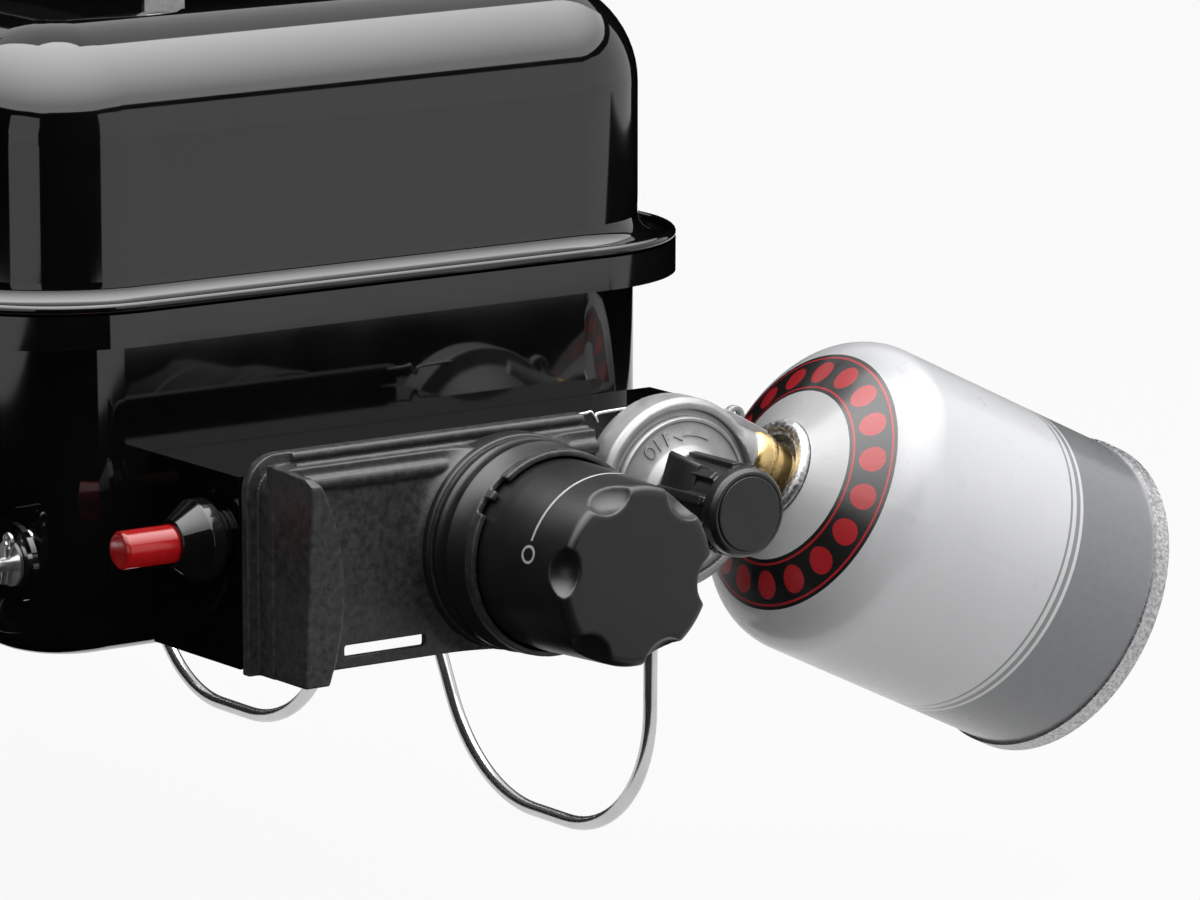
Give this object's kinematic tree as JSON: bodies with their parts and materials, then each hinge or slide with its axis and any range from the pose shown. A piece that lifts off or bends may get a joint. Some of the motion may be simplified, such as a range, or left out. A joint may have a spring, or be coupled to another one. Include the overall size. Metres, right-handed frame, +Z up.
{
  "type": "portable gas grill",
  "caption": "Tabletop gas grill: enamelled bowl and lift-off lid on swinging wire legs, with a control knob, push igniter, pressure regulator and screw-on gas cartridge.",
  "frame": {"origin": "on the table under the middle of the outline of the whole grill, cartridge included", "axes": "+Z up; +X along the bowl towards the control knob; -Y is the front, where the igniter is; +Y is towards the cartridge"},
  "size_m": [0.5638, 0.4234, 0.3613],
  "materials": {
    "enamel": "gloss porcelain enamel",
    "black_plastic": "fine moulded texture",
    "steel": "plain",
    "leg_wire": "bright plated",
    "brass": "turned",
    "die_cast": "as cast",
    "can_paint": "gloss print",
    "red_plastic": "gloss",
    "electrode_glaze": "glazed ceramic"
  },
  "bodies": {
    "grill_base": {"bowl": "enamel", "leg_brackets": "enamel", "cooking_grate": "enamel", "burner_tube": "steel", "burner_bracket": "steel", "burner_bracket_screws": "steel", "heat_shield": "enamel", "control_housing": "enamel", "housing_screws": "steel", "control_bezel": "black_plastic", "bezel_screws": "steel", "gas_valve": "brass", "valve_screws": "steel", "gas_jet": "brass", "outlet_pipe": "die_cast", "regulator_body": "die_cast", "regulator_cover": "die_cast", "regulator_screws": "steel", "inlet_nut": "brass", "igniter_body": "black_plastic", "igniter_nut": "black_plastic", "igniter_lead": "black_plastic", "igniter_electrode": "electrode_glaze"},
    "lid": {"lid_shell": "enamel", "handle_grip": "black_plastic", "handle_brackets": "steel", "handle_bolts": "steel"},
    "right_leg_frame": {"right_leg": "leg_wire", "right_leg_washers": "leg_wire", "right_leg_cotters": "leg_wire"},
    "left_leg_frame": {"left_leg": "leg_wire", "left_leg_washers": "leg_wire", "left_leg_cotters": "leg_wire"},
    "flame_control": {"control_knob": "black_plastic", "valve_stem": "steel"},
    "shut_off": {"regulator_knob": "black_plastic", "regulator_knob_cap": "black_plastic", "regulator_spindle": "steel"},
    "igniter_push": {"igniter_button": "red_plastic"},
    "gas_cartridge": {"cartridge_can": "can_paint", "cartridge_base": "steel", "cartridge_cup": "steel", "cartridge_valve": "steel"}
  },
  "joints": [
    {"name": "lid_lift", "type": "slide", "parent": "grill_base", "child": "lid", "axis": [0, 0, 1], "range_m": [0, 0.15]},
    {"name": "right_leg_swing", "type": "hinge", "parent": "grill_base", "child": "right_leg_frame", "pos_m": [0.1411, -0.06116, 0.1455], "axis": [0, -1, 0], "range_deg": [0, 45]},
    {"name": "left_leg_swing", "type": "hinge", "parent": "grill_base", "child": "left_leg_frame", "pos_m": [-0.2649, -0.06116, 0.1455], "axis": [0, 1, 0], "range_deg": [0, 288.5]},
    {"name": "flame_control_turn", "type": "hinge", "parent": "grill_base", "child": "flame_control", "pos_m": [0.2381, -0.04666, 0.147], "axis": [1, 0, 0], "range_deg": [0, 180]},
    {"name": "shut_off_turn", "type": "hinge", "parent": "grill_base", "child": "shut_off", "pos_m": [0.2281, 0.02334, 0.1535], "axis": [1, 0, 0], "range_deg": [0, 270]},
    {"name": "igniter_press", "type": "slide", "parent": "grill_base", "child": "igniter_push", "axis": [0, 1, 0], "range_m": [0, 0.006], "stiffness_N_per_m": 400, "springref_m": -0.004},
    {"name": "cartridge_unscrew", "type": "slide", "parent": "grill_base", "child": "gas_cartridge", "axis": [0, 0.9003, -0.4352], "range_m": [0, 0.05]}
  ]
}
